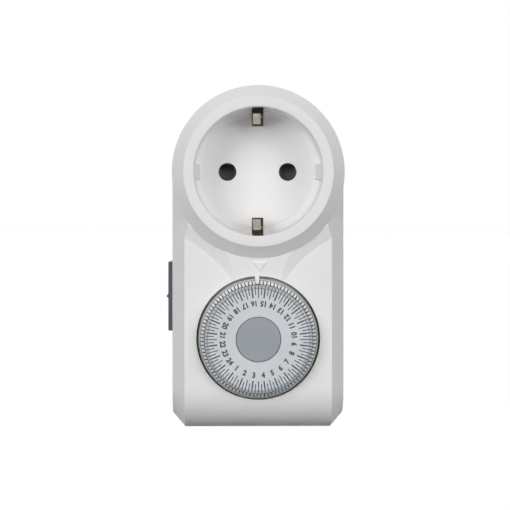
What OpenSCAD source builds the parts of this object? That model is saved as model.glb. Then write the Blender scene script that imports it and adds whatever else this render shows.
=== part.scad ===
// Plug-in timer switch: a socket above, a day dial below, a plug behind.
// Frame: +X right, +Z up, the front faces -Y. The origin is the middle of the plug's end face.

/* [Body] */
// Width of the body and of the round collar
body_w = 53; // [50:1:63]
// From the socket's axis down to the bottom edge
body_drop = 80; // [77:1:94]
// From the socket's rim back to the rear wall
housing_depth = 42; // [42:1:50]
// Thickness of the moulded walls
wall = 2; // [1.6:0.1:2.4]
// Width of the bevels along the front's sides
side_bevel = 3.8; // [2:0.2:4.6]
// Depth of the same bevels; at the bottom they cut the corners by as much
bevel_deep = 4.4; // [2:0.2:5]
// Radius over which the front rolls back at the bottom
bottom_roll = 13.4; // [8:0.2:14]
// Width of the bevels round the rear wall
rear_bevel = 2; // [1:0.5:3]
// Depth of the rear shell, from the seam to the rear wall
rear_shell = 13; // [11:0.5:13]

/* [Socket] */
// Distance between the two pins, fixed by the plug standard
pin_pitch = 19; // [19:1:19]
// Diameter of the round pins
pin_d = 4.8; // [4:0.8:4.8]
// Diameter of the pin entries in the well's floor
entry_d = 5.64; // [5.4:0.02:6]
// Diameter of the socket well
well_d = 39.3; // [39:0.1:40]
// Depth of the socket well
well_depth = 17.5; // [17:0.1:18]
// Width of the flat rim round the well
rim_w = 3.2; // [2.6:0.1:3.4]
// From the rim back to the flat front
face_drop = 5.1; // [4.4:0.1:5.6]
// Thickness of the well's floor
floor_t = 2.5; // [2:0.1:3]
// Width of the slots for the earth clips
clip_slot_w = 3.6; // [3.2:0.1:4]
// Width of the two guide ribs in the well
rib_w = 4.7; // [4.2:0.1:5]
// Height of the two guide ribs
rib_in = 1.7; // [1.2:0.1:2]
// Radius of the cove between the well's wall and its floor
cove = 2.4; // [1:0.2:3]
// Travel of the child safety shutter
shutter_travel = 6.4; // [6.2:0.1:6.8]

/* [Plug] */
// Diameter of the plug body behind
boss_d = 38; // [37:0.5:38.5]
// Length of the plug body
boss_len = 17.5; // [17:0.5:18]
// Length of the pins past the plug's end face
pin_len = 19; // [18.5:0.5:19.5]

/* [Dial] */
// From the socket's axis down to the dial's axis
dial_drop = 51.2; // [50.5:0.1:52]
// Diameter of the hole for the dial in the front
opening_d = 38.06; // [37.8:0.02:38.6]
// Diameter of the dial's outer rim
dial_d = 36.5; // [36.4:0.1:37.2]
// Diameter of the raised face plate
plate_d = 31; // [30:0.1:31.2]
// Height of the face plate over the flat front
plate_up = 4.8; // [4.4:0.1:5.2]
// Diameter of the knob in the middle
knob_d = 13.56; // [13:0.02:16.8]
// Height of the knob over the face plate
knob_up = 0.3; // [0.3:0.1:1]
// Hours round the dial
hours = 24; // [24:1:24]
// How far a tab is pressed in
tab_travel = 2; // [1.6:0.1:2]
// Height of the raised tabs over the flat front
tab_up = 3.5; // [3.1:0.1:3.6]

/* [Gears] */
// Tooth module of every gear
tooth = 0.3; // [0.3:0.01:0.3]
// Teeth inside the dial's ring
ring_z = 100; // [100:1:100]
// Teeth of the clutch wheel and of wheels 4 and 3
slow_z = 64; // [64:1:64]
// Teeth of wheels 2 and 1
fast_z = 60; // [60:1:60]
// Teeth of every pinion
pinion_z = 8; // [8:1:8]
// Thickness of the wheels
disc_t = 0.8; // [0.7:0.1:0.9]
// Distance from one wheel's layer to the next
layer = 1.3; // [1.3:0.1:1.4]
// Play between the flanks, taken off each tooth
backlash = 0.08; // [0.06:0.01:0.1]
// Radius of the steel gear pins
axle_r = 0.4; // [0.35:0.05:0.5]
// Running clearance of every turning fit
run_gap = 0.05; // [0.04:0.01:0.08]

/* [Switch] */
// Length of the sliding override button on the left side
slider_len = 21.6; // [18:0.2:24]
// Width of the override button
slider_w = 8; // [7:0.5:9]
// How far the button stands out of the side
slider_up = 1.5; // [1:0.1:1.8]
// Travel of the override button
slider_travel = 4; // [3:0.5:4]
// Middle of the button, below the socket's axis
slider_drop = 38.9; // [38.5:0.1:39.5]

/* [Motor] */
// Outer radius of the motor's can
motor_r = 16.5; // [15:0.5:17]
// Length of the motor's can
motor_len = 12; // [10:0.5:12]
// Distance of the motor's axis below the dial's axis
motor_drop = 6; // [5.8:0.1:6.4]

/* [Hidden] */
$fn = 64;
eps = 0.01;
big = 200;
gap = 0.3;
slip = 0.1;

half = body_w / 2;
well_r = well_d / 2;
entry_r = entry_d / 2;
pin_r = pin_d / 2;
shank_r = pin_r - 0.5;
px = pin_pitch / 2;
dial_z = -dial_drop;
boss_r = boss_d / 2;
boss_edge = 1;

// Stations along Y, from the plug forward
y_back = -boss_len;
y_rim = y_back - housing_depth;
y_front = y_rim + face_drop;
y_floor = y_rim + well_depth;
y_seam = y_back - rear_shell;
y_insert = y_floor + floor_t;

// The socket's tube, the shutter's chamber and the contact carrier behind it
tube_t = 2;
tube_r = well_r + tube_t;
chamber = 3.6;
y_base = y_insert + chamber;
base_t = 1.5;
shutter_top = 3.3;
shutter_low = -5.5;
shutter_t = chamber - 2 * gap - 0.1;
collar_chamfer = min(half - well_r - rim_w, face_drop - 1);
socket_r_in = pin_r - 0.1;
sleeve_t = 0.6;
sleeve_len = 9.4;
y_sleeve = y_base + base_t + 0.2;
y_contact = y_sleeve + sleeve_len;
bar_t = 0.8;
y_bar = y_contact + bar_t;
y_live = y_bar + 1.8;

// Earth strips: they run from the plug's sides to the clips in the well
earth_r = 17.2;
earth_t = 0.8;
earth_w = 5;
clip_w = 2.4;
clip_x = -0.4;
clip_tip = 10.5;
clip_hump = 5.5;
hump_r = 14.8;
tip_r = 17.5;

// The dial
dial_r = dial_d / 2;
plate_r = plate_d / 2;
knob_r = knob_d / 2;
tabs = hours * 4;
tab_turn = 1.2;
rim_t = 0.4;
tab_r1 = dial_r - rim_t - slip;
tab_l = 1.1;
tab_w0 = 0.68;
tab_w1 = 0.98;
tab_in = tab_r1 - tab_l;
ring_slope = 1.4;
stem_w = 0.6;
stem_l = 0.9;
plate_flare = 1;
y_tab = y_front - tab_up;
y_head = y_front + 2.1;
y_disc = y_head + tab_travel + 0.2;
y_disc_back = y_disc + 2.5;
y_ring_back = y_disc_back + 1.5;
hub_r = 4;
post_r = 2;
y_post = y_front - plate_up - knob_up + 1.8;

// The gear train. Layer 0 is the clutch wheel's, layer 4 is next to the gear plate.
y_layer0 = y_ring_back + 0.7;
function y_at(n) = y_layer0 + n * layer;
y_plate = y_at(4) + disc_t + 0.6;
plate_t = 1.4;
wheel_tooth_shift = -0.5;
pinion_shift = 0.5;
slow_c = tooth * (slow_z + pinion_z) / 2;
fast_c = tooth * (fast_z + pinion_z) / 2;
ring_c = tooth * (ring_z - pinion_z) / 2;
ring_out = dial_r - 1.8;

// Places of the axes round the dial's axis: [distance, angle]
function polar(p) = [p[0] * cos(p[1]), dial_z + p[0] * sin(p[1])];
function chain(p, r, c) = [r, p[1] - acos((p[0] * p[0] + r * r - c * c) / (2 * p[0] * r))];
orbit = 13.2;
motor_at = [0, dial_z - motor_drop];
w1_dir = -10;
w1_at = motor_at + fast_c * [cos(w1_dir), sin(w1_dir)];
w1_arm = w1_at - [0, dial_z];
w1_polar = [norm(w1_arm), atan2(w1_arm[1], w1_arm[0])];
w2_polar = chain(w1_polar, orbit, fast_c);
w3_polar = chain(w2_polar, orbit, slow_c);
w4_polar = chain(w3_polar, orbit, slow_c);
out_polar = chain(w4_polar, ring_c, slow_c);
w2_at = polar(w2_polar);
w3_at = polar(w3_polar);
w4_at = polar(w4_polar);
out_at = polar(out_polar);

// Phases: every disc has a tooth at angle 0, and each pinion is turned to mesh
function heading(a, b) = atan2(b[1] - a[1], b[0] - a[0]);
function mesh_phase(a, b, z) = heading(a, b) + 180 - (180 - heading(a, b) * z) / pinion_z;
out_phase = out_polar[1] - out_polar[1] * ring_z / pinion_z;

// Fixings
screw_x = half - 6;
screw_top = -22.5;
screw_low = -body_drop + 7.6;
SCREWS = [[-screw_x, screw_top], [screw_x, screw_top], [-screw_x, screw_low], [screw_x, screw_low]];
screw_boss_r = 3;
peg_r = 1.2;
pillar_r = 2.2;
PILLARS = [[-19.5, dial_z + 19], [19.5, dial_z + 19], [-21, dial_z - 12.5], [21, dial_z - 12.5]];
prop_r = 1.8;
PROPS = [[-16.5, -11.5], [16.5, -11.5], [-16.5, 11.5], [16.5, 11.5]];

// The switch: a lever feels the tabs' stems and lifts the moving blade
lever_y = y_disc_back + 1.2;
lever_z = dial_z + 24;
feel_z = dial_z + tab_r1 - stem_l / 2;
lever_w = 2.6;
lever_arm = 5.5;
lever_t = 1.6;
trunnion_r = 0.8;
blade_z = lever_z + 0.5;
blade_t = 0.4;
blade_w = 5;
blade_reach = 19;
rivet_r = 1.3;
rivet_h = 0.7;
rivet_reach = 15.3;
contact_gap = 1.12;
blade_top = blade_z + blade_t;
fixed_z = blade_top + rivet_h + contact_gap + rivet_h;
base_top = lever_z - 1.5;
base_low = base_top - 2;
ear_x = 3;
ear_t = 1.4;

// The override slider's inner parts
slider_y = (y_front + side_bevel + y_seam) / 2;
slider_z = -slider_drop;
stem_len = 6;
stem_t = 3;
slot_play = 0.2;
finger_y = y_plate + plate_t + 1.4;
finger_x = -6.8;
finger_top = blade_z - slider_travel - 0.4;

function tab_name(k) = str("tab_", k < 10 ? "0" : "", k);

// ---------- helpers ----------

// A flat outline (x to X, y to Z) made solid from y0 back to y1
module slab(y0, y1) {
    translate([0, y1, 0])
        rotate([90, 0, 0])
            linear_extrude(y1 - y0)
                children();
}

// A profile of [radius, Y] points turned about a Y axis at [x, z]
module turned(at = [0, 0]) {
    translate([at[0], 0, at[1]])
        rotate([-90, 0, 0])
            rotate_extrude()
                children();
}

module rod(r, y0, y1, at = [0, 0]) {
    translate([at[0], y1, at[1]])
        rotate([90, 0, 0])
            cylinder(r = r, h = y1 - y0);
}

// A box from its two corners
module block(a, b) {
    translate(a)
        cube(b - a);
}

module mirrored() {
    children();
    mirror([1, 0, 0])
        children();
}

// Points on an arc about c, from angle a0 to a1
function arc(c, r, a0, a1, n = 5) =
    [for (i = [0 : n]) let (a = a0 + (a1 - a0) * i / n) c + r * [cos(a), sin(a)]];

// One involute gear, a tooth at angle 0. shift moves the teeth out, thin narrows them.
function involute(a) = tan(a) * 180 / PI - a;
module gear(z, shift, thin = backlash, top = 1, root = 1.25, n = 2) {
    pressure = 20;
    r = tooth * z / 2;
    base = r * cos(pressure);
    tip = r + tooth * (top + shift);
    foot = r - tooth * (root - shift);
    start = max(base, foot);
    width = tooth * (PI / 2 + 2 * shift * tan(pressure)) - thin;
    spread = width / (2 * r) * 180 / PI + involute(pressure);
    flank = [for (i = [0 : n])
        let (q = start + (tip - start) * i / n)
            [q, spread - involute(acos(min(1, base / q)))]];
    side = foot < start ? concat([[foot, flank[0][1]]], flank) : flank;
    last = len(side) - 1;
    polygon([for (k = [0 : z - 1]) for (i = [0 : 2 * last + 1])
        let (p = i <= last ? side[i] : side[2 * last + 1 - i], a = 360 * k / z + (i <= last ? -p[1] : p[1]))
            p[0] * [cos(a), sin(a)]]);
}

// Every pinion: its tips are cut short, or they would run to a point
module pinion() {
    gear(pinion_z, pinion_shift, top = 0.7);
}

// ---------- the body's form ----------

// The bevel's width and depth on the body shrunk by i
bevel_len = norm([side_bevel, bevel_deep]);
function bevel_x(i) = side_bevel + i * (bevel_len - side_bevel) / bevel_deep;
function bevel_y(i) = bevel_deep + i * (bevel_len - bevel_deep) / side_bevel;

// The body below the socket's axis, shrunk by i
module lower_outline(i) {
    w = half - i;
    x = half - bevel_x(i);
    low = -body_drop + i;
    cut = -body_drop + bevel_y(i);
    polygon([[-w, 0], [-w, cut], [-x, low], [x, low], [w, cut], [w, 0]]);
}

// Side bevels, front and rear, seen from above
module side_profile(i) {
    w = half - i;
    s = i * (sqrt(2) - 1);
    right = [
        [half - bevel_x(i), y_front + i],
        [w, y_front + bevel_y(i)],
        [w, y_back - rear_bevel - s],
        [half - rear_bevel - s, y_back - i]
    ];
    left = [for (k = [3 : -1 : 0]) [-right[k][0], right[k][1]]];
    translate([0, 0, -big])
        linear_extrude(big + eps)
            polygon(concat(right, left));
}

// The bottom's rear bevel, seen from the side
module bottom_profile(i) {
    s = i * (sqrt(2) - 1);
    translate([-big / 2, 0, 0])
        rotate([90, 0, 90])
            linear_extrude(big)
                polygon([
                    [y_front + i, eps], [y_front + i, -body_drop + i],
                    [y_back - rear_bevel - s, -body_drop + i],
                    [y_back - i, -body_drop + rear_bevel + s], [y_back - i, eps]
                ]);
}

// What the roll takes off the front's bottom edge: the side bevels run on round its axis
module roll_waste(i) {
    c = bottom_roll;
    w = half - i;
    x = half - bevel_x(i);
    difference() {
        block([-big / 2, y_front - 1, -body_drop - 1], [big / 2, y_front + c, -body_drop + c]);
        translate([0, y_front + c, -body_drop + c])
            rotate([0, 90, 0])
                rotate_extrude()
                    polygon([
                        [0, -w], [c - bevel_y(i), -w], [c - i, -x], [c - i, x], [c - bevel_y(i), w], [0, w]
                    ]);
    }
}

module lower_body(i) {
    difference() {
        intersection() {
            slab(y_front + i, y_back - i)
                lower_outline(i);
            side_profile(i);
            bottom_profile(i);
        }
        roll_waste(i);
    }
}

// The round body behind the collar, shrunk by i
module barrel(i) {
    s = i * (sqrt(2) - 1);
    turned()
        polygon([
            [0, y_front + i], [half - i, y_front + i], [half - i, y_back - rear_bevel - s],
            [half - rear_bevel - s, y_back - i], [0, y_back - i]
        ]);
}

module body_form(i) {
    lower_body(i);
    barrel(i);
}

module ahead_of(y) {
    intersection() {
        children();
        block([-big / 2, y - big, -big], [big / 2, y, big / 2]);
    }
}

module behind(y) {
    intersection() {
        children();
        block([-big / 2, y, -big], [big / 2, y + big, big / 2]);
    }
}

// The rear shell's lip reaches into the front shell's rebate
lip = 2;
module seam_outline(i) {
    lower_outline(i);
    circle(r = half - i);
}

// ---------- housings ----------

// The rim, its 45 degree chamfer and the well's tube, as one turned profile
module collar() {
    r = 0.5;
    flat = half - collar_chamfer;
    inner = half - wall - 0.2;
    y_inner = y_rim + 3.4;
    cove_at = [well_r - cove, y_floor - cove - 0.05];
    turned() {
        polygon(concat(
            [[well_r, y_floor]],
            arc([well_r + r, y_rim + r], r, 180, 270, 4),
            arc([flat - 0.41 * r, y_rim + r], r, 270, 315, 3),
            [[half, y_rim + collar_chamfer], [half, y_front + wall], [inner, y_front + wall],
             [inner, y_inner], [tube_r, y_inner], [tube_r, y_floor]]
        ));
        difference() {
            translate(cove_at)
                square([cove + eps, cove + 0.05]);
            translate(cove_at)
                circle(r = cove);
        }
    }
}

// The neck: a ramp from the collar down to the dial, its sides swept in by two cones
neck_h0 = face_drop - collar_chamfer - 0.05;
neck_h1 = 0.55;
neck_z0 = -half + 1.3;
neck_z1 = dial_z + opening_d / 2;
function neck_h(z) = neck_h0 + (neck_h1 - neck_h0) * max(0, (z - neck_z0) / (neck_z1 - neck_z0));
module neck_ramp() {
    y0 = y_front + 0.6;
    z_end = neck_z1 - 3;
    translate([-half, 0, 0])
        rotate([90, 0, 90])
            linear_extrude(2 * half)
                polygon([
                    [y0, 0], [y_front - neck_h0, 0], [y_front - neck_h0, neck_z0],
                    [y_front - neck_h(z_end), z_end], [y0, z_end]
                ]);
}

module neck() {
    sweep_r = 39.4;
    sweep_at = [40.8, -55.4];
    side_slope = 2.8;
    edge = half - side_bevel - 0.05;
    drift = side_bevel / bevel_deep;
    difference() {
        intersection() {
            neck_ramp();
            translate([0, 0, -big / 2])
                linear_extrude(big)
                    polygon([
                        [edge - 2 * drift, y_front - 2], [edge, y_front], [edge, y_front + 1],
                        [-edge, y_front + 1], [-edge, y_front], [-edge + 2 * drift, y_front - 2]
                    ]);
        }
        mirrored()
            turned(sweep_at)
                polygon([
                    [0, y_front - 3], [sweep_r + 3 * side_slope, y_front - 3],
                    [sweep_r - side_slope, y_front + 1], [0, y_front + 1]
                ]);
        rod(well_r + 1, y_rim - 1, y_front + 1);
        rod(opening_d / 2, y_rim - 1, y_front + 1, [0, dial_z]);
    }
}

// The pointer: a sloping finger that hangs over the dial's tabs
module pointer() {
    tip_r = 16.9;
    foot_r = opening_d / 2 + 0.12;
    root_r = opening_d / 2 + 0.9;
    over = 0.4;
    thick = 0.6;
    intersection() {
        translate([-2, 0, dial_z])
            rotate([90, 0, 90])
                linear_extrude(4)
                    polygon([
                        [ring_y(tip_r) - over, tip_r], [ring_y(tip_r) - over - thick, tip_r],
                        [ring_y(root_r) - over - thick, root_r], [y_front + 0.5, root_r],
                        [y_front + 0.5, foot_r], [ring_y(foot_r) - over, foot_r]
                    ]);
        slab(y_tab - 2, y_front + 1)
            polygon([
                [-1.25, dial_z + root_r], [0.37, dial_z + root_r],
                [0.19, dial_z + tip_r], [-0.82, dial_z + tip_r]
            ]);
    }
}

// A raised triangle on the neck with sloping sides
module neck_mark() {
    rise = 0.3;
    sunk = 0.3;
    foot = [[-2.36, -26.8], [4.21, -26.8], [0.9, -31.2]];
    head = [[-1.48, -28], [2.16, -28], [0.33, -30.44]];
    function lift(p, h) = [p[0], y_front - neck_h(p[1]) - h, p[1]];
    points = concat([for (p = foot) lift(p, -sunk)], [for (p = head) lift(p, rise)]);
    polyhedron(points, [[0, 2, 1], [3, 4, 5], [0, 1, 4, 3], [1, 2, 5, 4], [2, 0, 3, 5]]);
}

module front_housing() {
    color("whitesmoke")
        difference() {
            union() {
                ahead_of(y_seam)
                    difference() {
                        body_form(0);
                        body_form(wall);
                        rod(well_r + 1, y_rim, y_front + wall + 1);
                    }
                collar();
                neck();
                pointer();
                neck_mark();
                // a skirt behind the dial's opening
                intersection() {
                    slab(y_front + eps, y_front + wall + 3.4)
                        translate([0, dial_z])
                            difference() {
                                circle(r = opening_d / 2 + 1.4);
                                circle(r = opening_d / 2);
                            }
                    lower_body(0.3);
                }
                // screw bosses, and the pillars of the gear plate with their pegs
                intersection() {
                    union() {
                        for (p = SCREWS)
                            rod(screw_boss_r, y_front + wall - eps, y_seam - lip - gap, p);
                        for (p = PILLARS)
                            rod(pillar_r, y_front + wall - eps, y_plate, p);
                    }
                    body_form(wall - 0.2);
                }
                for (p = PILLARS)
                    rod(peg_r, y_plate - 1, y_plate + plate_t + 0.8, p);
                // guide ribs at both sides of the well
                mirrored()
                    intersection() {
                        translate([0, 0, -rib_w / 2])
                            linear_extrude(rib_w)
                                polygon([
                                    [well_r + 1, y_rim + 1.5], [well_r, y_rim + 1.5],
                                    [well_r - rib_in, y_rim + 7], [well_r - rib_in, y_floor],
                                    [well_r + 1, y_floor]
                                ]);
                        rod(well_r + 0.5, y_rim, y_floor);
                    }
            }
            // the dial's opening
            rod(opening_d / 2, y_front - 0.4, y_front + wall + 4, [0, dial_z]);
            // slots in the well's wall for the earth clips
            for (s = [-1, 1])
                mirror([0, 0, s > 0 ? 0 : 1])
                    block([-clip_slot_w / 2, y_rim + 1.2, well_r - cove - 0.2],
                          [clip_slot_w / 2, y_floor + eps, tube_r + 0.2]);
            // the slot of the override slider
            block([-half - 1, slider_y - stem_t / 2 - slot_play, slider_z - stem_len / 2 - slot_play],
                  [-half + wall + 1, slider_y + stem_t / 2 + slot_play,
                   slider_z + stem_len / 2 + slider_travel + slot_play]);
            // the rebate for the rear shell's lip
            slab(y_seam - lip - 0.2, y_seam + 1)
                seam_outline(wall / 2);
            // pilot holes for the screws
            for (p = SCREWS)
                rod(1.3, y_seam - 14, y_seam, p);
        }
}

// The hollow keeps clear of the notches at the sides and of the earth channels
module boss_hollow() {
    notch = [15.2, 9];
    channel = [9.6, 15.4];
    intersection() {
        circle(r = boss_r - 2.2);
        difference() {
            square([2 * boss_r, 2 * boss_r], center = true);
            mirrored()
                translate([notch[0], -notch[1] / 2])
                    square([boss_r, notch[1]]);
            for (s = [0, 180])
                rotate(s)
                    translate([-channel[0] / 2, channel[1]])
                        square([channel[0], boss_r]);
        }
    }
}

module rear_housing() {
    front = y_seam;
    color("whitesmoke")
        difference() {
            union() {
                difference() {
                    behind(y_seam)
                        body_form(0);
                    difference() {
                        slab(front - 1, y_back - wall)
                            seam_outline(wall);
                        difference() {
                            slab(front - 2, y_back)
                                seam_outline(-1);
                            body_form(wall);
                        }
                    }
                }
                // the lip
                slab(front - lip, front + 1)
                    difference() {
                        seam_outline(wall / 2 + slip);
                        seam_outline(wall);
                    }
                // the plug's body, its end edge chamfered
                turned()
                    polygon([
                        [0, y_back - wall], [boss_r, y_back - wall], [boss_r, -boss_edge],
                        [boss_r - boss_edge, 0], [0, 0]
                    ]);
                for (p = SCREWS)
                    rod(screw_boss_r, y_seam - lip, y_back - wall + eps, p);
                for (p = PROPS)
                    rod(prop_r, y_base + base_t, y_back - wall + eps, p);
            }
            // the plug's body is hollow behind its end wall
            difference() {
                slab(y_back - wall - 1, -3)
                    boss_hollow();
                for (s = [-1, 1])
                    rod(4.2, -7, -2, [s * px, 0]);
            }
            // seats of the pins
            for (s = [-1, 1]) {
                rod(shank_r + run_gap, -8, 1, [s * px, 0]);
                rod(pin_r + run_gap, -0.8, 1, [s * px, 0]);
                rod(3.3, -8, -3, [s * px, 0]);
            }
            // notches for the guide ribs of a wall socket
            mirrored()
                block([boss_r - 2.1, y_back, -2.7], [boss_r + 1, 1, 2.7]);
            // channels for the earth strips, and the slits that let them in
            for (s = [-1, 1]) {
                a = s > 0 ? earth_r : -boss_r - 1;
                b = s > 0 ? boss_r + 1 : -earth_r;
                block([-4, y_back, a], [4, 1, b]);
                c = s > 0 ? earth_r - slip : -earth_r - earth_t - slip;
                d = s > 0 ? earth_r + earth_t + slip : -earth_r + slip;
                block([-earth_w / 2 - slip, y_back - wall - 1, c], [earth_w / 2 + slip, y_back + 1, d]);
            }
            // screw holes with their counterbores
            for (p = SCREWS) {
                rod(1.7, y_seam - lip - 1, y_back + 1, p);
                rod(3.0 - 0.2, y_back - 2.4, y_back + 1, p);
            }
        }
}

// The well's floor, with the two pin entries and the slots of the clips
module socket_insert() {
    color("whitesmoke")
        slab(y_floor, y_insert)
            difference() {
                circle(r = tube_r);
                for (s = [-1, 1])
                    translate([s * px, 0])
                        circle(r = entry_r);
                for (s = [0, 180])
                    rotate(s)
                        translate([-clip_slot_w / 2, 14.4])
                            square([clip_slot_w, well_r + 0.6 - 14.4]);
            }
}

// Carries the sprung contacts behind the shutter's chamber
rail_x = 13.2;
spring_seat = shutter_low - shutter_travel - 1.5;
module contact_base() {
    color("gainsboro") {
        difference() {
            union() {
                slab(y_base, y_base + base_t)
                    circle(r = tube_r);
                slab(y_insert, y_base)
                    difference() {
                        circle(r = tube_r);
                        circle(r = tube_r - 1.6);
                        for (s = [-1, 1])
                            translate([-earth_w / 2 - gap, s > 0 ? 14 : -25])
                                square([earth_w + 2 * gap, 11]);
                    }
                // rails that guide the shutter, and the seat of its spring
                mirrored()
                    block([rail_x, y_insert + gap, -11.5], [rail_x + 1.2, y_base + eps, 8]);
                block([-2.2, y_insert + gap, spring_seat - 1.2], [2.2, y_base + eps, spring_seat]);
                for (s = [-1, 1])
                    rod(4.7, y_base, y_contact - bar_t, [s * px, 0]);
            }
            for (s = [-1, 1]) {
                rod(3.4, y_base - 1, y_contact, [s * px, 0]);
                mirror([0, 0, s > 0 ? 0 : 1])
                    block([-earth_w / 2 - gap, y_base - 1, earth_r - gap],
                          [earth_w / 2 + gap, y_base + base_t + 1, earth_r + earth_t + gap]);
            }
        }
    }
}

// The child safety shutter: a plate whose wedges the two pins push down
module shutter() {
    y0 = y_insert + gap;
    color([0.2, 0.2, 0.21])
        difference() {
            block([-rail_x + slip, y0, shutter_low], [rail_x - slip, y0 + shutter_t, shutter_top]);
            block([-2.3, y0 - 1, shutter_low - 1], [2.3, y0 + shutter_t + 1, 1.6]);
            for (s = [-1, 1])
                translate([s * px, 0, 0])
                    intersection() {
                        translate([-4, 0, 0])
                            rotate([90, 0, 90])
                                linear_extrude(8)
                                    polygon([
                                        [y0 - 1, 2.3], [y0 + 2.1, 2.3], [y0 + 0.4, -2.5], [y0 - 1, -2.5]
                                    ]);
                        slab(y0 - 2, y0 + 4)
                            polygon([[-2.6, 2.6], [2.6, 2.6], [1.5, -2.7], [-1.5, -2.7]]);
                    }
        }
}

// The shutter's spring: a wire swept along a helix
spring_r = 1.35;
spring_wire = 0.2;
spring_turns = 9;
module shutter_spring() {
    z0 = spring_seat + gap;
    z1 = 1.6 - gap;
    y_mid = y_insert + gap + shutter_t / 2;
    sides = 6;
    steps = 12 * spring_turns;
    rise = z1 - z0 - 2 * spring_wire;
    function ring(i) = [for (j = [0 : sides - 1])
        let (a = 360 * spring_turns * i / steps, b = 360 * j / sides, q = spring_r + spring_wire * cos(b))
            [q * cos(a), y_mid + q * sin(a), z0 + spring_wire + rise * i / steps + spring_wire * sin(b)]];
    points = [for (i = [0 : steps]) each ring(i)];
    walls = [for (i = [0 : steps - 1]) for (j = [0 : sides - 1])
        let (k = (j + 1) % sides) each [
            [i * sides + j, i * sides + k, (i + 1) * sides + k],
            [i * sides + j, (i + 1) * sides + k, (i + 1) * sides + j]
        ]];
    ends = [[for (j = [sides - 1 : -1 : 0]) j], [for (j = [0 : sides - 1]) steps * sides + j]];
    color("silver")
        polyhedron(points, concat(walls, ends));
}

// ---------- metal parts ----------

// A sprung sleeve: four fingers, a flared mouth and a closed foot
module socket_contact(s) {
    r = socket_r_in;
    color("darkgoldenrod")
        difference() {
            turned([s * px, 0])
                polygon([
                    [r + 0.35, y_sleeve], [r + 0.6 + 0.35, y_sleeve], [r + sleeve_t, y_sleeve + 1.4],
                    [r + sleeve_t, y_contact], [0, y_contact], [0, y_contact - bar_t],
                    [r, y_contact - bar_t], [r, y_sleeve + 1.2]
                ]);
            for (a = [0, 90])
                translate([s * px, 0, 0])
                    rotate([0, a + 45, 0])
                        block([-4, y_sleeve - 1, -0.25], [4, y_contact - 3, 0.25]);
        }
}

module contact_left() socket_contact(-1);
module contact_right() socket_contact(1);

// Both earth strips and clips, and the strap that joins them
module earth_clip() {
    y_tip = y_floor - clip_tip;
    y_hump = y_floor - clip_hump;
    t = 0.6;
    r = earth_r;
    translate([clip_x - clip_w / 2, 0, 0])
        rotate([90, 0, 90])
            linear_extrude(clip_w)
                polygon([
                    [y_base + 1, r], [y_floor - 1.5, r], [y_hump + 0.5, hump_r], [y_hump - 0.6, hump_r],
                    [y_tip, tip_r - 0.2], [y_tip + 0.1, tip_r + 0.5], [y_hump - 0.2, hump_r + t + 0.1],
                    [y_hump + 0.2, hump_r + t + 0.1], [y_floor - 1.6, r + earth_t], [y_base + 1, r + earth_t]
                ]);
}

module earth_bracket() {
    strap_y = y_bar - bar_t;
    color("lightgray") {
        for (s = [0, 1])
            mirror([0, 0, s]) {
                block([-earth_w / 2, y_base + 0.5, earth_r], [earth_w / 2, -1.5, earth_r + earth_t]);
                earth_clip();
            }
        block([-earth_w / 2, strap_y, -earth_r - eps], [earth_w / 2, strap_y + bar_t, earth_r + eps]);
    }
}

// A round pin with a flange in the plug's body and a riveted tail
module plug_pin(s, y_tail) {
    tip = 1.2;
    tail_r = 1.6;
    flange_r = 3.2;
    flange_back = -3.1;
    flange_front = -5;
    color("silver")
        turned([s * px, 0])
            polygon(concat(
                [[0, y_tail], [tail_r, y_tail], [tail_r, flange_front], [flange_r, flange_front],
                 [flange_r, flange_back], [shank_r, flange_back], [shank_r, slip], [pin_r, slip]],
                arc([pin_r - tip, pin_len - tip], tip, 0, 90, 5),
                [[0, pin_len]]
            ));
}

module plug_pin_left() plug_pin(-1, y_live - bar_t);
module plug_pin_right() plug_pin(1, y_contact + 0.2);

module bar_eye(s) {
    translate([s * px, 0])
        circle(r = 1.6 + run_gap);
}

// Joins the right pin and the right sleeve
module neutral_bar() {
    color("goldenrod")
        slab(y_contact, y_bar)
            difference() {
                union() {
                    translate([px, 0])
                        circle(r = 3.6);
                    translate([px - 1.5, -6])
                        square([3, 6]);
                }
                bar_eye(1);
            }
}

// Takes the left pin down to the moving blade
foot_low = blade_z - 1.6;
module live_bar() {
    color("goldenrod")
        slab(y_live - bar_t, y_live)
            difference() {
                union() {
                    translate([-px, 0])
                        circle(r = 3.6);
                    translate([-px - 1.6, foot_low])
                        square([3.2, -foot_low]);
                    translate([-px - 1.6, foot_low])
                        square([px + 1.6 + blade_w / 2, 3]);
                }
                bar_eye(-1);
            }
}

// Takes the left sleeve down to the fixed contact
module switched_bar() {
    arm_end = y_live - blade_reach + 1.5;
    color("goldenrod") {
        slab(y_contact, y_bar)
            union() {
                translate([-px, 0])
                    circle(r = 3.2);
                translate([-px - 0.5, -6])
                    square([3, 6]);
                polygon([[-px - 0.5, -5], [-px + 2.5, -5], [-px + 4, -10], [-px + 4, fixed_z],
                         [-px + 1, fixed_z], [-px + 1, -10]]);
                translate([-px + 1, fixed_z])
                    square([px - 1 + blade_w / 2, 2]);
            }
        block([-blade_w / 2, arm_end, fixed_z], [blade_w / 2, y_bar, fixed_z + bar_t]);
        translate([0, y_live - bar_t - rivet_reach, fixed_z - rivet_h])
            cylinder(r = rivet_r, h = rivet_h + eps);
    }
}

// The blade that the lever lifts: it flexes at its root
module moving_contact() {
    root = y_live - bar_t;
    color("peru") {
        block([-blade_w / 2, root - blade_reach, blade_z], [blade_w / 2, root - 0.1, blade_top]);
        block([-blade_w / 2, root - 0.5, blade_z - 1.4], [blade_w / 2, root - 0.1, blade_top + 0.8]);
        block([finger_x - 1.6, finger_y - 0.3, blade_z], [-blade_w / 2 + eps, finger_y + 2.3, blade_top]);
        translate([0, root - rivet_reach, blade_top - eps])
            cylinder(r = rivet_r, h = rivet_h + eps);
    }
}

// ---------- switch mechanics ----------

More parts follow.
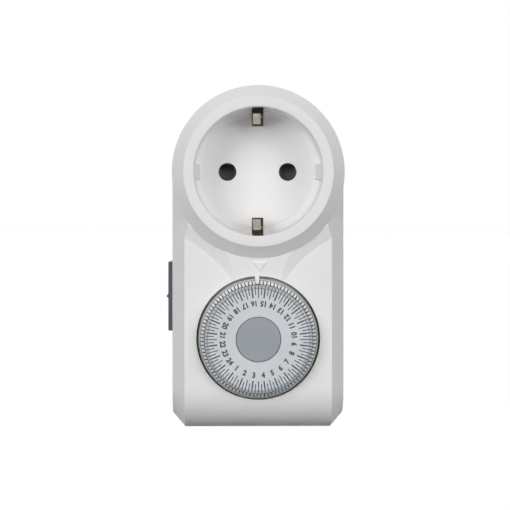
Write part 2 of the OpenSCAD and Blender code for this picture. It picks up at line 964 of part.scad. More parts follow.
module feeler_lever() {
    nose_y = y_disc_back + gap;
    color("steelblue") {
        translate([0, lever_y, lever_z])
            rotate([0, 90, 0]) {
                cylinder(r = 1.3, h = 2 * ear_x - 2 * slip, center = true);
                cylinder(r = trunnion_r, h = 2 * (ear_x + ear_t), center = true);
            }
        // the leg down to the tabs' stems
        block([-lever_w / 2, nose_y + 0.3, feel_z - 0.5], [lever_w / 2, nose_y + 0.3 + lever_t, lever_z]);
        block([-lever_w / 2 + 0.3, nose_y, feel_z - 0.6], [lever_w / 2 - 0.3, nose_y + 1, feel_z + 0.6]);
        // the arm back under the blade
        block([-lever_w / 2, lever_y, lever_z - 0.9], [lever_w / 2, lever_y + lever_arm, lever_z + 0.2]);
    }
}

module switch_base() {
    back = y_bar - 2;
    color("gainsboro")
        difference() {
            union() {
                block([-6, lever_y + 2, base_low], [6, back, base_top]);
                mirrored()
                    block([ear_x, lever_y - 1.6, base_low], [ear_x + ear_t, lever_y + 2.4, lever_z + 1.6]);
            }
            translate([0, lever_y, lever_z])
                rotate([0, 90, 0])
                    cylinder(r = trunnion_r + run_gap, h = 20, center = true);
        }
}

// The override button: an outer plate, a stem through the wall and an inner arm
module override_slider() {
    out_x = -half - slider_up;
    z0 = slider_z - slider_len / 2;
    z1 = slider_z + slider_len / 2;
    y0 = slider_y - slider_w / 2;
    y1 = slider_y + slider_w / 2;
    in_x = -half + wall + slip;
    edge = 0.25;
    ridge_z = slider_z;
    color("slategray") {
        translate([0, y1, 0])
            rotate([90, 0, 0])
                linear_extrude(slider_w)
                    polygon([
                        [-half - slip, z0], [-half - slip, z1], [out_x + edge, z1], [out_x, z1 - edge],
                        [out_x, ridge_z + 0.6], [out_x - 0.5, ridge_z + 0.2], [out_x - 0.5, ridge_z - 0.2],
                        [out_x, ridge_z - 0.6], [out_x, z0 + edge], [out_x + edge, z0]
                    ]);
        block([-half - slip - eps, slider_y - stem_t / 2, slider_z - stem_len / 2],
              [in_x + eps, slider_y + stem_t / 2, slider_z + stem_len / 2]);
        block([in_x, y0 + 1, slider_z - 4.5], [in_x + 1.2, y1 - 1, slider_z + 4.5]);
        block([in_x, slider_y, slider_z - 1], [in_x + 1.6, finger_y + 2, finger_top]);
        block([in_x + 1, finger_y, finger_top - 2], [finger_x, finger_y + 2, finger_top]);
    }
}

// ---------- the dial ----------

// Carries the tabs, the face plate and the knob; a toothed ring is moulded inside its back
module dial_carrier() {
    slot_l = stem_l + 2 * slip;
    flange = (opening_d - dial_d) / 2 - gap;
    color([0.72, 0.74, 0.75])
        difference() {
            union() {
                turned([0, dial_z])
                    polygon([
                        [hub_r, y_disc], [dial_r - rim_t, y_disc],
                        [dial_r - rim_t, ring_y(dial_r - rim_t)], [dial_r, ring_y(dial_r)],
                        [dial_r, y_front + 2], [dial_r + flange, y_front + 2],
                        [dial_r + flange, y_front + 3], [dial_r, y_front + 3], [dial_r, y_disc_back],
                        [hub_r, y_disc_back]
                    ]);
                turned([0, dial_z])
                    polygon([
                        [post_r + run_gap, y_post + 0.9], [hub_r, y_post + 0.9],
                        [hub_r + eps, y_disc], [hub_r + eps, y_disc_back],
                        [hub_r, y_ring_back - gap], [post_r + run_gap, y_ring_back - gap]
                    ]);
                slab(y_disc_back - eps, y_ring_back)
                    translate([0, dial_z])
                        difference() {
                            circle(r = ring_out);
                            gear(ring_z, pinion_shift, thin = -backlash, top = 1.25, root = 1);
                        }
            }
            for (k = [0 : tabs - 1])
                translate([0, 0, dial_z])
                    rotate([0, tab_turn + (k + 0.5) * 360 / tabs, 0])
                        block([-stem_w / 2 - slip, y_disc - 1, tab_r1 - slot_l + slip / 2],
                              [stem_w / 2 + slip, y_disc_back + 1, tab_r1 + slip / 2]);
        }
}

module dial_plate() {
    y0 = y_front - plate_up;
    skirt = 1.15;
    foot_r = plate_r + plate_flare;
    color([0.8, 0.81, 0.83])
        turned([0, dial_z])
            polygon([
                [knob_r + 0.16, y0], [plate_r, y0], [foot_r - 0.1, y0 + 0.2], [foot_r, y0 + 0.32],
                [foot_r, y_disc], [foot_r - skirt, y_disc], [foot_r - skirt, y0 + 1.9],
                [plate_r - 0.9, y0 + 1.2], [knob_r + 0.16, y0 + 1.2]
            ]);
}

module dial_knob() {
    y0 = y_front - plate_up - knob_up;
    under = y_front - plate_up + 1.3;
    color([0.6, 0.63, 0.66])
        turned([0, dial_z])
            polygon([
                [0, y0], [knob_r - 0.2, y0], [knob_r, y0 + 0.2], [knob_r, under], [knob_r + 1.4, under],
                [knob_r + 1.4, under + 1], [5.6, under + 1], [5.6, y_disc], [hub_r + slip, y_disc],
                [hub_r + slip, y0 + 1.5], [0, y0 + 1.5]
            ]);
}

// How far forward the sloping front of the tabs and of the rim is at a radius
function ring_y(r) = y_tab + ring_slope * (r - tab_in);

// A prism with a tab's sloping front, moved back by lower, and its half widths inside and outside
module tab_prism(lower, w0, w1) {
    intersection() {
        translate([-tab_l, 0, 0])
            rotate([90, 0, 90])
                linear_extrude(2 * tab_l)
                    polygon([
                        [y_tab + lower, tab_in], [ring_y(tab_r1) + lower, tab_r1],
                        [y_head, tab_r1], [y_head, tab_in]
                    ]);
        slab(y_tab - 1, y_head + 1)
            polygon([
                [-w0, tab_in - eps], [-w1, tab_r1 + eps], [w1, tab_r1 + eps], [w0, tab_in - eps]
            ]);
    }
}

// A tab's head: a body that fills its share of the ring and a narrower crown to catch with a nail
module tab_head() {
    crown = 0.6;
    slit = 0.06;
    share = tan(180 / tabs);
    tab_prism(0, tab_w0 / 2, tab_w1 / 2);
    tab_prism(crown, tab_in * share - slit, tab_r1 * share - slit);
}

// One hour's four tabs. The dial's tabs are counted clockwise from the one at the top.
module hour_tabs(k) {
    color([0.66, 0.68, 0.69])
        translate([0, 0, dial_z])
            for (q = [0 : 3])
                rotate([0, tab_turn + ((k - 1) * 4 + q - 1.5) * 360 / tabs, 0]) {
                    tab_head();
                    block([-stem_w / 2, y_head - eps, tab_r1 - stem_l + 0.05],
                          [stem_w / 2, y_disc_back - 0.2, tab_r1 - 0.05]);
                }
}

// ---------- gear train and motor ----------

module gear_plate() {
    foot = body_drop - wall - 2.1;
    left = [[-16.8, -foot], [-16.8, -66.2], [-23.6, -66.2], [-23.6, -55], [-21.6, -52]];
    top = base_low;
    collar_out = 3.2;
    lug_x = 12;
    color("gainsboro")
        difference() {
            union() {
                slab(y_plate, y_plate + plate_t)
                    polygon(concat(left, [[-21.6, top], [21.6, top]],
                                   [for (i = [4 : -1 : 0]) [-left[i][0], left[i][1]]]));
                // the dial's post
                turned([0, dial_z])
                    polygon([
                        [0, y_post], [post_r - 0.3, y_post], [post_r, y_post + 0.3],
                        [post_r, y_ring_back - 0.2], [collar_out, y_ring_back - 0.2],
                        [collar_out, y_ring_back + 0.6], [post_r + 0.6, y_plate + eps], [0, y_plate + eps]
                    ]);
            }
            for (p = PILLARS)
                rod(peg_r + run_gap, y_plate - 1, y_plate + plate_t + 1, p);
            for (p = [out_at, w4_at, w3_at, w2_at, w1_at])
                rod(axle_r + 0.02, y_plate - 1, y_plate + plate_t + 1, p);
            rod(2, y_plate - 1, y_plate + plate_t + 1, motor_at);
            for (s = [-1, 1])
                block([s * lug_x - 1.7, y_plate - 1, motor_at[1] - 10.7],
                      [s * lug_x + 1.7, y_plate + 3, motor_at[1] - 9.3]);
        }
}

// Steel pins, one for each wheel, as long as its pinion needs
module gear_axles() {
    color("silver") {
        rod(axle_r, y_disc_back + 0.4, y_plate + plate_t, out_at);
        rod(axle_r, y_at(0) - 0.3, y_plate + plate_t, w4_at);
        rod(axle_r, y_at(1) - 0.3, y_plate + plate_t, w3_at);
        rod(axle_r, y_at(2) - 0.3, y_plate + plate_t, w2_at);
        rod(axle_r, y_at(3) - 0.3, y_plate + plate_t, w1_at);
    }
}

// The pinion in the dial's ring; the clutch wheel slips on its hub
clutch_hub = 1.9;
module output_pinion() {
    y_end = y_at(0) + disc_t + 0.2;
    color("white")
        translate([out_at[0], 0, out_at[1]])
            difference() {
                union() {
                    slab(y_disc_back + 0.2, y_end)
                        rotate(out_phase)
                            pinion();
                    turned()
                        polygon([
                            [0, y_ring_back + 0.2], [2.7, y_ring_back + 0.2], [2.7, y_at(0) - 0.2],
                            [clutch_hub, y_at(0) - 0.2], [clutch_hub, y_end], [0, y_end]
                        ]);
                }
                rod(axle_r + run_gap, y_disc_back - 1, y_at(2));
            }
}

module spoke_windows(r0, r1) {
    for (k = [0 : 3])
        rotate(90 * k)
            difference() {
                intersection() {
                    circle(r = r1);
                    translate([1, 1])
                        square([r1, r1]);
                }
                circle(r = r0);
            }
}

module clutch_wheel() {
    color("peachpuff")
        slab(y_at(0), y_at(0) + disc_t)
            translate(out_at)
                difference() {
                    gear(slow_z, wheel_tooth_shift);
                    circle(r = clutch_hub + run_gap);
                    spoke_windows(clutch_hub + 1.6, tooth * slow_z / 2 - 2);
                }
}

// A wheel in layer n with the pinion that drives the wheel ahead of it
module train_wheel(n, z, at, phase) {
    color("peachpuff")
        translate([at[0], 0, at[1]])
            difference() {
                union() {
                    slab(y_at(n), y_at(n) + disc_t)
                        difference() {
                            gear(z, wheel_tooth_shift);
                            spoke_windows(2.4, tooth * z / 2 - 2);
                        }
                    slab(y_at(n - 1) - 0.2, y_at(n) + disc_t / 2)
                        rotate(phase)
                            pinion();
                }
                rod(axle_r + run_gap, y_at(n - 1) - 1, y_at(n) + 2);
            }
}

module wheel_4() train_wheel(1, slow_z, w4_at, mesh_phase(out_at, w4_at, slow_z));
module wheel_3() train_wheel(2, slow_z, w3_at, mesh_phase(w4_at, w3_at, slow_z));
module wheel_2() train_wheel(3, fast_z, w2_at, mesh_phase(w3_at, w2_at, slow_z));
module wheel_1() train_wheel(4, fast_z, w1_at, mesh_phase(w2_at, w1_at, fast_z));

// The motor: a steel can and cover, a coil and a magnet rotor
y_can = y_plate + plate_t;
y_can_end = y_can + motor_len;
can_t = 0.8;
shaft_r = 0.75;
claw_r = 8.9;
module motor_can() {
    color("silver")
        difference() {
            union() {
                turned(motor_at)
                    polygon([
                        [shaft_r + run_gap, y_can], [motor_r, y_can], [motor_r, y_can_end],
                        [motor_r - can_t, y_can_end], [motor_r - can_t, y_can + can_t],
                        [shaft_r + run_gap, y_can + can_t]
                    ]);
                // lugs bent through the gear plate
                for (s = [-1, 1])
                    block([s * 12 - 1.5, y_plate - 0.3, motor_at[1] - 10.5],
                          [s * 12 + 1.5, y_can + eps, motor_at[1] - 9.5]);
            }
            // the gap where the coil's leads come out
            block([-3, y_can + 3, motor_at[1] + motor_r - 3], [3, y_can + 6, motor_at[1] + motor_r + 1]);
        }
}

module motor_cover() {
    r = motor_r - can_t - slip;
    color("silver")
        difference() {
            union() {
                rod(r, y_can_end - can_t, y_can_end, motor_at);
                // pole claws between the coil and the rotor
                for (k = [0 : 11])
                    translate([motor_at[0], 0, motor_at[1]])
                        rotate([0, 30 * k, 0])
                            block([-0.9, y_can + 2.4, claw_r - 0.6], [0.9, y_can_end - can_t + eps, claw_r]);
            }
            rod(shaft_r + run_gap, y_can, y_can_end + 1, motor_at);
        }
}

spool_r = 9.6;
spool_out = motor_r - can_t - gap;
spool_wall = 0.7;
y_spool = y_can + can_t + slip;
y_spool_end = y_can_end - can_t - slip;
module motor_bobbin() {
    color("ivory")
        turned(motor_at)
            polygon([
                [spool_r, y_spool], [spool_out, y_spool], [spool_out, y_spool + spool_wall],
                [spool_r + spool_wall, y_spool + spool_wall],
                [spool_r + spool_wall, y_spool_end - spool_wall],
                [spool_out, y_spool_end - spool_wall], [spool_out, y_spool_end], [spool_r, y_spool_end]
            ]);
}

module motor_winding() {
    a = spool_r + spool_wall + slip;
    b = spool_out - 1.2;
    color("sienna")
        turned(motor_at)
            polygon([
                [a, y_spool + spool_wall], [b, y_spool + spool_wall],
                [b, y_spool_end - spool_wall], [a, y_spool_end - spool_wall]
            ]);
}

module motor_rotor() {
    color("dimgray")
        translate([motor_at[0], 0, motor_at[1]]) {
            rod(7.6, y_can + 2.4, y_can_end - 2.4);
            rod(shaft_r, y_at(4) - 0.2, y_can_end + 0.4);
            slab(y_at(4) - 0.2, y_plate + 0.2)
                rotate(mesh_phase(w1_at, motor_at, fast_z))
                    pinion();
        }
}

// An insulated lead along points whose legs run square to each other, its corners bent
lead_r = 0.6;
lead_bend = 1.4;
function unit(v) = v / norm(v);
module lead(points) {
    last = len(points) - 1;
    for (i = [0 : last - 1]) {
        d = unit(points[i + 1] - points[i]);
        a = points[i] + (i > 0 ? lead_bend : 0) * d;
        b = points[i + 1] - (i + 1 < last ? lead_bend : 0) * d;
        translate(a)
            rotate([0, acos(d[2]), atan2(d[1], d[0])])
                cylinder(r = lead_r, h = norm(b - a));
    }
    for (i = [1 : last - 1]) {
        ey = unit(points[i] - points[i - 1]);
        ex = -unit(points[i + 1] - points[i]);
        ez = cross(ex, ey);
        c = points[i] - lead_bend * ey - lead_bend * ex;
        multmatrix([for (k = [0 : 2]) [ex[k], ey[k], ez[k], c[k]]])
            rotate_extrude(angle = 90)
                translate([lead_bend, 0])
                    circle(r = lead_r);
    }
}

// From the coil up to the neutral bar's foot and to the live bar's foot
module motor_leads() {
    y_out = y_can + 4.5;
    z_out = motor_at[1] + motor_r - 0.6;
    y_up = y_live - 2;
    color("firebrick") {
        lead([[-1.2, y_out, z_out], [-1.2, y_out, z_out + 3.5], [-1.2, y_up, z_out + 3.5]]);
        lead([[1.2, y_out, z_out], [1.2, y_out, z_out + 3.5], [px + 4, y_out, z_out + 3.5]]);
    }
}

// Four long screws from behind
module housing_screws() {
    head = y_back - 0.6;
    color("silver")
        for (p = SCREWS)
            difference() {
                union() {
                    rod(2.6, head - 1.8, head, p);
                    rod(1.2, y_seam - 12, head - 1.79, p);
                }
                rod(1.2, head - 0.9, head + 1, p);
            }
}

front_housing();
rear_housing();
socket_insert();
contact_base();
shutter();
shutter_spring();
contact_left();
contact_right();
earth_bracket();
plug_pin_left();
plug_pin_right();
live_bar();
neutral_bar();
switched_bar();
moving_contact();
feeler_lever();
switch_base();
override_slider();
dial_carrier();
dial_plate();
dial_knob();
gear_plate();
gear_axles();
output_pinion();
clutch_wheel();
wheel_4();
wheel_3();
wheel_2();
wheel_1();
motor_can();
motor_cover();
motor_bobbin();
motor_winding();
motor_rotor();
motor_leads();
housing_screws();
for (k = [1 : hours])
    hour_tabs(k);
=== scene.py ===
# %% [markdown]
# # A plug-in timer switch
#
# The CAD model gives the frame: every solid piece, its size and its place. This lesson dresses
# that frame. It sets up a camera and a small studio, gives each piece the surface of the material
# that it is made of, and adds what is too fine for CAD: the printed hours, the thin rim round the
# face, the screws' threads and cross recesses, and the turns of the coil. All lengths are metres,
# so `MM` keeps the numbers readable.

import math

import bmesh
import bpy
from mathutils import Matrix, Vector


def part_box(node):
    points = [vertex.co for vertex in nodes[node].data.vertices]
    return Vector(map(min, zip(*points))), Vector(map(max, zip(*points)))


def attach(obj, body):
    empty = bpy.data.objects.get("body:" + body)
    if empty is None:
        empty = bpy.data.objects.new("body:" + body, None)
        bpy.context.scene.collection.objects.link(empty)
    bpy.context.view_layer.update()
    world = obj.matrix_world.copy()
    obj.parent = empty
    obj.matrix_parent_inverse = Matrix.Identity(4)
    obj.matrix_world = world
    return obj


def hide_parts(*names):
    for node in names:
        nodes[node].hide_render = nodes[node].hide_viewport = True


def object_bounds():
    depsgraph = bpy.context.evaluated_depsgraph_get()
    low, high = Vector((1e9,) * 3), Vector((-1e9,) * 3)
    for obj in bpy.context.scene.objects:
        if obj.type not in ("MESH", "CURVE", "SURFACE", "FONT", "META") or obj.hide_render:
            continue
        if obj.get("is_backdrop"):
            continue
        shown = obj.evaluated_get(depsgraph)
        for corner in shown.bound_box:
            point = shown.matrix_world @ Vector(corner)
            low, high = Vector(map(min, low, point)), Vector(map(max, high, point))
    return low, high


MM = 0.001
MICRON = 1e-6
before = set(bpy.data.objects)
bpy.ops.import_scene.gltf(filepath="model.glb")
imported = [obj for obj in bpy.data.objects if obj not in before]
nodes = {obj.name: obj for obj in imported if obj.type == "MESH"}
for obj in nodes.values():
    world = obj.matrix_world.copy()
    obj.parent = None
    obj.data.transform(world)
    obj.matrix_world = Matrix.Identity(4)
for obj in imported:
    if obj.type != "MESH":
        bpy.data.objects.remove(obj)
sizes = {"cad_box": [list(corner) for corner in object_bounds()]}
print("CAD nodes:", len(nodes))

# %% [markdown]
# ## Where things are
#
# The front of the timer faces -Y. Its dial turns about an axis that runs along Y, so a place on the
# dial is a radius and a clock angle: 0 at the top, growing clockwise as seen from the front. The
# places are measured from the CAD pieces, and not typed in, so that the print follows the plate.
# Only the width of the plate's bevel is written down, because a box doesn't tell it. `NEAR` is how
# close two points have to be to count as the same place.

# %% Places on the dial
NEAR = 0.03 * MM
PLATE_BEVEL = 1 * MM
plate_low, plate_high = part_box("dial_plate")
FACE_Y = plate_low.y
PLATE_R = (plate_high.x - plate_low.x) / 2
DIAL = Vector(((plate_high.x + plate_low.x) / 2, 0, (plate_high.z + plate_low.z) / 2))
FACE_R = PLATE_R - PLATE_BEVEL
print("plate radius %.2f mm, flat face radius %.2f mm" % (PLATE_R / MM, FACE_R / MM))

# %% [markdown]
# ## Camera
#
# A small product is taken with a long lens from about half a metre, so that its outline stays
# square. The camera could be tilted down to take in the whole body, but then the sides would lean
# together. Here it looks level, from just below the pin holes, and the frame is shifted down, as
# with a shift lens. It stands a little to the left and is turned back by less than one degree.

# %% Camera
SENSOR_MM = 36
LENS_MM = 116.6
SHIFT_DOWN = 0.1325
CAMERA_AT = Vector((-8.4, -562, -4.88)) * MM
CAMERA_TURN = math.radians(-0.835)

scene = bpy.context.scene
camera_data = bpy.data.cameras.new("camera")
camera_data.sensor_width = SENSOR_MM
camera_data.lens = LENS_MM
camera_data.shift_y = -SHIFT_DOWN
camera_data.clip_start = 10 * MM
camera_data.clip_end = 20
camera = bpy.data.objects.new("camera", camera_data)
camera.location = CAMERA_AT
camera.rotation_euler = (math.radians(90), 0, CAMERA_TURN)
scene.collection.objects.link(camera)
scene.camera = camera
print("camera: %.1f mm lens, %.0f mm from the object" % (LENS_MM, -CAMERA_AT.y / MM))

# %% [markdown]
# ## Tools for materials
#
# A material is a tree of shader nodes. Colours are written as the hex values of a paint chart, and
# one function turns them into the linear values that light is worked out in. Another small function
# puts one node down, sets it up and joins it, which keeps every material short enough to read.

# %% Colours and nodes


def linear(hex_colour):
    """A hex colour as the linear red, green, blue and alpha that a socket takes."""
    parts = [int(hex_colour[i : i + 2], 16) / 255 for i in (1, 3, 5)]
    return [c / 12.92 if c <= 0.04045 else ((c + 0.055) / 1.055) ** 2.4 for c in parts] + [1]


def add(tree, kind, inputs=None, **settings):
    """Adds one node. An input is a value, or an output of another node to join to it."""
    node = tree.nodes.new("ShaderNode" + kind)
    for name, value in settings.items():
        setattr(node, name, value)
    for name, value in (inputs or {}).items():
        if isinstance(value, bpy.types.NodeSocket):
            tree.links.new(value, node.inputs[name])
        else:
            node.inputs[name].default_value = value
    return node


def new_material(name):
    """An empty node material, its tree, and the place on the object in metres."""
    material = bpy.data.materials.new(name)
    material.use_nodes = True
    tree = material.node_tree
    tree.nodes.clear()
    return material, tree, add(tree, "TexCoord").outputs["Object"]


# %% [markdown]
# Nothing moulded or rolled is even all over. Noise gives the unevenness: `noise` makes blobs of a
# size in millimetres, `spread` stretches its values, which gather round a half, between two ends,
# and `tinted` uses them to mix two colours.

# %% Noise


def noise(tree, where, size_mm, detail=3.0, roughness=0.5):
    """Noise whose blobs are about size_mm across."""
    settings = {
        "Vector": where,
        "Scale": 1 / (size_mm * MM),
        "Detail": detail,
        "Roughness": roughness,
    }
    return add(tree, "TexNoise", settings).outputs["Fac"]


def spread(tree, value, low, high, start=0.3, end=0.7):
    """Values from start to end, stretched to run from low to high."""
    limits = {"Value": value, "From Min": start, "From Max": end, "To Min": low, "To Max": high}
    return add(tree, "MapRange", limits).outputs["Result"]


def tinted(tree, factor, dark, light):
    """Two colours mixed by a factor. A colour is a hex value, or an output to join."""
    mix = add(tree, "Mix", data_type="RGBA")
    tree.links.new(factor, mix.inputs["Factor"])
    for socket, colour in zip([s for s in mix.inputs if s.type == "RGBA"], (dark, light)):
        if isinstance(colour, str):
            socket.default_value = linear(colour)
        else:
            tree.links.new(colour, socket)
    return next(s for s in mix.outputs if s.type == "RGBA")


# %% [markdown]
# ## Moulded plastic
#
# The housing is injection-moulded ABS, a white plastic with a satin shine. Close up it has a fine
# grain from the spark-eroded mould, an uneven shine, very faint clouds of tone where the melt
# flowed, and edges that the mould leaves slightly round. The grain could be sculpted, but a bump of
# a few microns looks the same and costs nothing. The Bevel node bends the light across an edge and
# leaves the mesh alone, which is needed here because a CAD mesh may not be changed. White ABS also
# lets a little light in, and that is the subsurface part. Between the dial's tabs the tone is
# darkened as painted shade.
# The AmbientOcclusion node tells how open a point lies, from 0 to 1, and where it is closed in the
# tone turns to the colour of the painted shade.

# %% ABS
CLOUD_MM = 14
SHINE_MM = 5
# Painted shade in gaps: how far the AmbientOcclusion node looks, and the openness below which the
# tone is all shade and above which it has none.
GAP_SHADE_REACH = 0.5 * MM
SHADED_BELOW = 0.35
UNSHADED_ABOVE = 0.85


def plastic(
    name,
    dark,
    light,
    shine=(0.45, 0.6),
    grain_mm=0.35,
    grain_um=4,
    edge_mm=0.2,
    inside=0.0,
    gloss=0.35,
    gap_shade=None,
):
    """Moulded plastic between two tones. inside is the share of light that goes in, and grime
    the colour of the painted shade in its gaps."""
    material, tree, where = new_material(name)
    tone = tinted(tree, spread(tree, noise(tree, where, CLOUD_MM, 2), 0, 1), dark, light)
    # Painted shade: where the AmbientOcclusion node finds a point closed in, as between the tabs,
    # the tone turns to the shade colour.
    if gap_shade:
        reach = {"Distance": GAP_SHADE_REACH}
        open_by = add(tree, "AmbientOcclusion", reach, samples=8).outputs["AO"]
        tone = tinted(tree, spread(tree, open_by, 0, 1, SHADED_BELOW, UNSHADED_ABOVE), gap_shade, tone)
    fine = noise(tree, where, grain_mm, 4, 0.6)
    rounded = add(tree, "Bevel", {"Radius": edge_mm * MM}, samples=4).outputs["Normal"]
    grain = {"Strength": 0.5, "Distance": grain_um * MICRON, "Height": fine, "Normal": rounded}
    surface = {
        "Base Color": tone,
        "Roughness": spread(tree, noise(tree, where, SHINE_MM, 3), *shine),
        "IOR": 1.52,
        "Specular IOR Level": gloss,
        "Normal": add(tree, "Bump", grain).outputs["Normal"],
        "Subsurface Weight": inside,
        "Subsurface Radius": (0.9, 0.8, 0.7),
        "Subsurface Scale": 1 * MM,
    }
    shader = add(tree, "BsdfPrincipled", surface)
    add(tree, "OutputMaterial", {"Surface": shader.outputs["BSDF"]})
    return material


M = {
    "white_abs": plastic("white_abs", "#f4f3f3", "#f7f6f6", inside=0.06),
    "plate_grey": plastic("plate_grey", "#d8dce1", "#dee2e6", (0.4, 0.5), grain_mm=0.2, grain_um=2),
    # The rim's darker, bluer tone is painted shade for the dark line round the face's edge.
    "plate_rim": plastic("plate_rim", "#b6bdc5", "#bdc4cb", (0.35, 0.45), grain_mm=0.2, grain_um=2),
    "knob_grey": plastic("knob_grey", "#9da3a9", "#a3a9af", (0.42, 0.55), grain_mm=0.2),
    # The tabs carry painted shade in the gaps between them.
    "tab_grey": plastic(
        "tab_grey", "#ebefee", "#f1f5f4", (0.35, 0.5), edge_mm=0.1, gap_shade="#3c423f"
    ),
    "carrier_grey": plastic("carrier_grey", "#c6c9c8", "#cccfce", (0.35, 0.5), edge_mm=0.1),
    "button_blue": plastic("button_blue", "#565d6b", "#5d6471", (0.4, 0.55), edge_mm=0.25),
    "shutter_dark": plastic("shutter_dark", "#3f3f43", "#49494d", (0.35, 0.45), edge_mm=0.15),
    "inner_grey": plastic("inner_grey", "#c2c1b8", "#cfcec6", (0.45, 0.6)),
}
print("plastics:", len(M))

# %% [markdown]
# ## Bearing plastics, magnet and cable
#
# The wheels are moulded in acetal, which is slippery, creamy white and a little shinier than ABS.
# The coil's spool is nylon, yellowed by nature. The rotor is a pressed magnet powder, so it is dark
# and coarse. The leads' cover is soft PVC. Each could have a node tree of its own, but all four are
# moulded or pressed, so the same function makes them with other tones and another grain.

# %% Acetal, nylon, magnet and PVC
M["acetal"] = plastic("acetal", "#e4dfd0", "#eee9dc", (0.3, 0.42), grain_um=2, edge_mm=0.04)
M["nylon"] = plastic("nylon", "#d8cfae", "#e2dabd", (0.35, 0.5))
M["magnet"] = plastic("magnet", "#26262a", "#34343a", (0.5, 0.65), grain_mm=0.15, grain_um=8)
M["pvc_red"] = plastic("pvc_red", "#8e1f18", "#a02a20", (0.35, 0.45), grain_um=2)
print("moulded and pressed materials:", len(M))

# %% [markdown]
# ## Metals
#
# The contacts, bars and clips are stamped from rolled strip, so their grain runs one way, and the
# pins and axles are turned. The lines could be a wave texture, but that is too even. A noise whose
# coordinates are squeezed along the grain is drawn out into lines, which give the roughness and a
# slight bump. A blotchy second tone is the thin tarnish that brass and bronze get from hands and
# heat. The metals keep the shader's own IOR.

# %% Strip and turned metal
LINE_SQUEEZE = 0.06
LINE_DEEP = 3 * MICRON
STAIN_MM = 3.5


def metal(name, clean, tarnished, rough=(0.22, 0.4), along="Z", line_mm=0.12, edge_mm=0.08):
    """Rolled or turned metal, with its grain along X, Y or Z."""
    material, tree, where = new_material(name)
    squeeze = [LINE_SQUEEZE if axis == along else 1.0 for axis in "XYZ"]
    squeezed = add(tree, "Mapping", {"Vector": where, "Scale": squeeze}).outputs["Vector"]
    lines = noise(tree, squeezed, line_mm, 4, 0.65)
    stain = spread(tree, noise(tree, where, STAIN_MM, 4, 0.6), 0, 1)
    rounded = add(tree, "Bevel", {"Radius": edge_mm * MM}, samples=4).outputs["Normal"]
    grain = {"Strength": 0.35, "Distance": LINE_DEEP, "Height": lines, "Normal": rounded}
    surface = {
        "Base Color": tinted(tree, stain, tarnished, clean),
        "Metallic": 1.0,
        "Roughness": spread(tree, lines, *rough),
        "Normal": add(tree, "Bump", grain).outputs["Normal"],
    }
    shader = add(tree, "BsdfPrincipled", surface)
    add(tree, "OutputMaterial", {"Surface": shader.outputs["BSDF"]})
    return material


M["nickel"] = metal("nickel", "#cdc9c1", "#bcb7ad", along="Y")
M["earth_strip"] = metal("earth_strip", "#cbc5b6", "#b0a898", (0.25, 0.45), along="Y")
M["brass"] = metal("brass", "#d8b25c", "#a5803a")
M["bronze"] = metal("bronze", "#c98e5e", "#96623c", along="Y")
M["zinc_steel"] = metal("zinc_steel", "#b9b9bb", "#93938f", (0.3, 0.5), along="X", line_mm=0.3)
M["spring_steel"] = metal("spring_steel", "#a9a9ac", "#86868a", along="X")
M["copper_wire"] = metal("copper_wire", "#b0643a", "#8a4424", (0.25, 0.4), edge_mm=0.02)
print("materials:", len(M))

# %% [markdown]
# ## Dress the CAD pieces
#
# Each CAD piece gets the material that it is really made of. The table is written by material, so
# that it reads like a list of what to order: most of the timer is a few plastics, and metal is only
# where current flows or something has to spring.

# %% Which piece wears what
WEARS = {
    "white_abs": ["front_housing", "rear_housing", "socket_insert"],
    "plate_grey": ["dial_plate"],
    "knob_grey": ["dial_knob"],
    "tab_grey": ["tab_%02d" % k for k in range(1, 25)],
    "carrier_grey": ["dial_carrier"],
    "button_blue": ["override_slider", "feeler_lever"],
    "shutter_dark": ["shutter"],
    "inner_grey": ["contact_base", "switch_base", "gear_plate"],
    "acetal": ["output_pinion", "clutch_wheel", "wheel_4", "wheel_3", "wheel_2", "wheel_1"],
    "nylon": ["motor_bobbin"],
    "magnet": ["motor_rotor"],
    "pvc_red": ["motor_leads"],
    "nickel": ["plug_pin_left", "plug_pin_right"],
    "earth_strip": ["earth_bracket"],
    "brass": ["contact_left", "contact_right", "live_bar", "neutral_bar", "switched_bar"],
    "bronze": ["moving_contact"],
    "zinc_steel": ["motor_can", "motor_cover", "gear_axles", "housing_screws"],
    "spring_steel": ["shutter_spring"],
    "copper_wire": ["motor_winding"],
}
for material_name, wearers in WEARS.items():
    for node_name in wearers:
        mesh = nodes[node_name].data
        mesh.materials.clear()
        mesh.materials.append(M[material_name])
print("CAD nodes with a material:", sum(len(wearers) for wearers in WEARS.values()))

# %% [markdown]
# ## Tools for modelling
#
# The new pieces are made as by hand: a primitive is put down and then shaped in edit mode. An
# operator acts on everything that is selected, and the frame arrives selected, so each piece starts
# by deselecting all. In edit mode the faces and edges that an operator should act on are picked in
# code, by their place.

# %% Start, pick and finish


def start_piece():
    """Leaves edit mode and deselects everything."""
    if bpy.context.object and bpy.context.object.mode != "OBJECT":
        bpy.ops.object.mode_set(mode="OBJECT")
    bpy.ops.object.select_all(action="DESELECT")


def edit_piece(name):
    """Names the new primitive, moves its place into its mesh and opens it in edit mode."""
    piece = bpy.context.object
    piece.name = piece.data.name = name
    bpy.ops.object.transform_apply(location=True, rotation=True, scale=True)
    bpy.ops.object.mode_set(mode="EDIT")
    return piece


def pick(kind, test):
    """Selects the faces, edges or vertices whose middle passes the test. Returns how many."""
    bpy.ops.mesh.select_mode(type=kind)
    bpy.ops.mesh.select_all(action="DESELECT")
    data = bpy.context.object.data
    shape = bmesh.from_edit_mesh(data)
    parts = {"FACE": shape.faces, "EDGE": shape.edges, "VERT": shape.verts}[kind]
    count = 0
    for part in parts:
        points = [part.co] if kind == "VERT" else [v.co for v in part.verts]
        if test(sum(points, Vector()) / len(points), points):
            part.select_set(True)
            count += 1
    shape.select_flush_mode()
    bmesh.update_edit_mesh(data)
    return count


